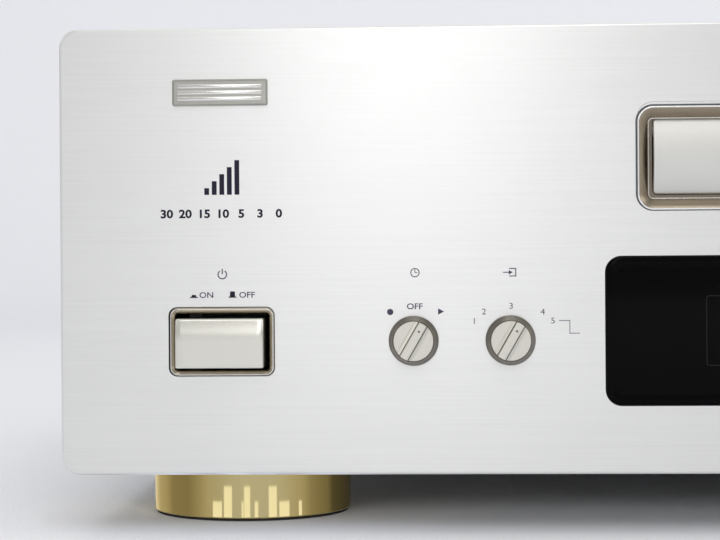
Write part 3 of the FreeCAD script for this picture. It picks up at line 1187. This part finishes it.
def sled_gear():
    body = gear(SLED_TEETH, SPINDLE_R, SLED_Z, SLED_Z + GEAR_T, SLED_GEAR_X, SLED_GEAR_Y, math.pi / 2)
    shaft = rod("z", (SLED_GEAR_X, SLED_GEAR_Y), DECK_Z - FRAME_T - 6.0, SLED_Z + GEAR_T, SPINDLE_R)
    return fused(body, shaft)


def drive_motors():
    """Loading motor and sled motor, hung under the frame's cross plate."""
    motors = []
    top = DECK_Z - FRAME_T
    for x, y in motor_places():
        can = rod("z", (x, y), top - MOTOR_T, top, MOTOR_R)
        boss = rod("z", (x, y), top, DECK_Z, MOTOR_BOSS_R - 0.05)
        motors.append(fused(can, boss).cut(rod("z", (x, y), top - 7.0, DECK_Z, SPINDLE_R + RUN_GAP)))
    return group(motors)


def pickup_sled():
    """Sliding block with its lens, the rack and the post that carries the head arm."""
    x0, x1 = SLED_X - SLED_HALF, SLED_X + SLED_HALF
    y0, y1 = SPINDLE_Y - SLED_Y, SPINDLE_Y + SLED_Y
    body = box(x0, x1, y0, y1, SLED_Z, SLED_Z + SLED_T)
    lens = rod("z", (SLED_X, SPINDLE_Y), SLED_Z + SLED_T, SLED_Z + SLED_T + 1.0, LENS_R)
    tail_y = SPINDLE_Y + ARM_PIVOT_Y
    pivot_z = SLOT_Z + ARM_PIVOT_RISE
    tail = box(SLED_X - 4.0, SLED_X + 4.0, y1, tail_y + 3.0, SLED_Z, SLED_Z + 3.0)
    mast = [box(SLED_X + i, SLED_X + i + 1.2, tail_y - 3.0, tail_y + 3.0, SLED_Z, pivot_z + 2.4)
            for i in (-4.0, 2.8)]
    step = math.pi * MODULE
    ahead = math.ceil(SLED_TRAVEL / step) + 1
    points = rack_outline(SLED_GEAR_X + (0.5 - ahead) * step, ahead + 2)
    rack = strip(points, -(SPINDLE_Y - SLED_Y - SLED_RACK_Y) - 0.5,
                 lambda a, o: (a, SLED_RACK_Y - o), SLED_Z, SLED_Z + GEAR_T)
    whole = fused(body, lens, tail, *mast, rack)
    bores = [rod("x", at, x0, x1, ROD_R + RUN_GAP) for at in rod_places()]
    bores.append(rod("x", (tail_y, pivot_z), x0, x1, SPINDLE_R + RUN_GAP))
    return cut_all(whole, bores)


def guide_rods():
    return group([rod("x", at, ROD_X, FRAME_OUT, ROD_R) for at in rod_places()])


def head_arm():
    """Arm for the magnetic head, built level as when loaded, then raised about its pivot."""
    pivot = (SPINDLE_Y + ARM_PIVOT_Y, SLOT_Z + ARM_PIVOT_RISE)
    half = ARM_W / 2 - 0.3
    level = pivot[1] - ARM_T / 2
    body = box(SLED_X - half, SLED_X + half, SPINDLE_Y - HEAD_W / 2, pivot[0], level, level + ARM_T)
    barrel = rod("x", pivot, SLED_X - half, SLED_X + half, 2.2)
    head = box(SLED_X - HEAD_W / 2, SLED_X + HEAD_W / 2, SPINDLE_Y - HEAD_W / 2, SPINDLE_Y + HEAD_W / 2,
               SLOT_Z - LOWER_TRAVEL + CARTRIDGE_T / 2 + 0.3, level)
    pin = rod("x", pivot, SLED_X - 4.0, SLED_X + 4.0, SPINDLE_R)
    arm = fused(body, barrel, head, pin)
    arm.rotate(FreeCAD.Vector(0, *pivot), FreeCAD.Vector(1, 0, 0), -ARM_LIFT)
    return arm


def spindle_motor():
    body = rod("z", (0, SPINDLE_Y), DECK_Z, DECK_Z + SPINDLE_MOTOR_T, SPINDLE_MOTOR_R)
    return body.cut(rod("z", (0, SPINDLE_Y), DECK_Z + 1.0, DECK_Z + SPINDLE_MOTOR_T, SPINDLE_R + RUN_GAP))


def turntable():
    table = rod("z", (0, SPINDLE_Y), TURNTABLE_TOP - TURNTABLE_T, TURNTABLE_TOP, TURNTABLE_R)
    nose = rod("z", (0, SPINDLE_Y), TURNTABLE_TOP, TURNTABLE_TOP + 1.0, 2.2)
    shaft = rod("z", (0, SPINDLE_Y), DECK_Z + 1.2, TURNTABLE_TOP, SPINDLE_R)
    return fused(table, nose, shaft)


# --- all nodes ------------------------------------------------------------------------------------
def nodes():
    made = {
        "front_panel": front_panel(), "front_subpanel": front_subpanel(), "board_posts": board_posts(),
        "badge_plate": badge_plate(),
        "power_bezel": power_bezel(), "power_button": power_button(), "power_switch": power_switch(),
        "timer_knob": with_shaft(pointer_knob(TIMER_X, TIMER_ANGLE), TIMER_X, LOW_ROW_Z, KNOB_SHAFT_DEPTH),
        "input_knob": with_shaft(pointer_knob(INPUT_X, INPUT_ANGLE), INPUT_X, LOW_ROW_Z, KNOB_SHAFT_DEPTH),
        "rotary_switches": group([control_body(TIMER_X, LOW_ROW_Z), control_body(INPUT_X, LOW_ROW_Z)]),
        "door_bezel": door_bezel(), "disc_door": disc_door(), "door_pins": door_pins(),
        "door_spring": door_spring(), "slot_plate": slot_plate(),
        "display_window": display_window(), "display_tube": display_tube(),
        "display_board": display_board(), "key_board": key_board(),
        "jog_dial": with_shaft(jog_dial(), DIAL_X, DIAL_Z, DIAL_SHAFT_DEPTH),
        "jog_encoder": jog_encoder(),
        "record_level_knob": with_shaft(record_level_knob(), RECORD_X, RECORD_Z, DIAL_SHAFT_DEPTH),
        "phones_level_knob": with_shaft(pointer_knob(PHONES_X, PHONES_ANGLE), PHONES_X, LOW_ROW_Z,
                                        KNOB_SHAFT_DEPTH),
        "level_controls": group([control_body(RECORD_X, RECORD_Z), control_body(PHONES_X, LOW_ROW_Z)]),
        "phones_jack": phones_jack(),
        "bottom_chassis": bottom_chassis(), "top_cover": top_cover(), "rear_panel": rear_panel(),
        "foot_pads": foot_pads(), "foot_screws": foot_screws(), "case_screws": case_screws(),
        "transformer_core": transformer_core(), "transformer_coil": transformer_coil(),
        "power_board": power_board(), "main_board": main_board(),
        "phono_jacks": phono_jacks(), "optical_jacks": optical_jacks(), "mains_inlet": mains_inlet(),
        "mech_frame": mech_frame(), "disc_holder": disc_holder(), "loading_slider": loading_slider(),
        "loading_gear": loading_gear(), "motor_pinion": motor_pinion(), "drive_motors": drive_motors(),
        "sled_gear": sled_gear(), "pickup_sled": pickup_sled(), "guide_rods": guide_rods(),
        "head_arm": head_arm(), "spindle_motor": spindle_motor(), "turntable": turntable(),
    }
    made.update({name: function_key(x, z) for name, x, z in key_places()})
    made.update({"foot_" + name: foot_shell(x, y) for name, x, y in foot_places()})
    return made


def main():
    os.makedirs("parts", exist_ok=True)
    for name, shape in nodes().items():
        if not shape.isValid() or not shape.Solids or any(s.Volume <= 0 for s in shape.Solids):
            print("not a sound solid:", name, shape.isValid(), [round(s.Volume, 2) for s in shape.Solids])
        shape.exportStep("parts/" + name + ".step")
        b = shape.BoundBox
        print(f"{name:20s} solids {len(shape.Solids):2d}  x {b.XMin:8.2f} {b.XMax:8.2f}  "
              f"y {b.YMin:8.2f} {b.YMax:8.2f}  z {b.ZMin:7.2f} {b.ZMax:7.2f}")


main()
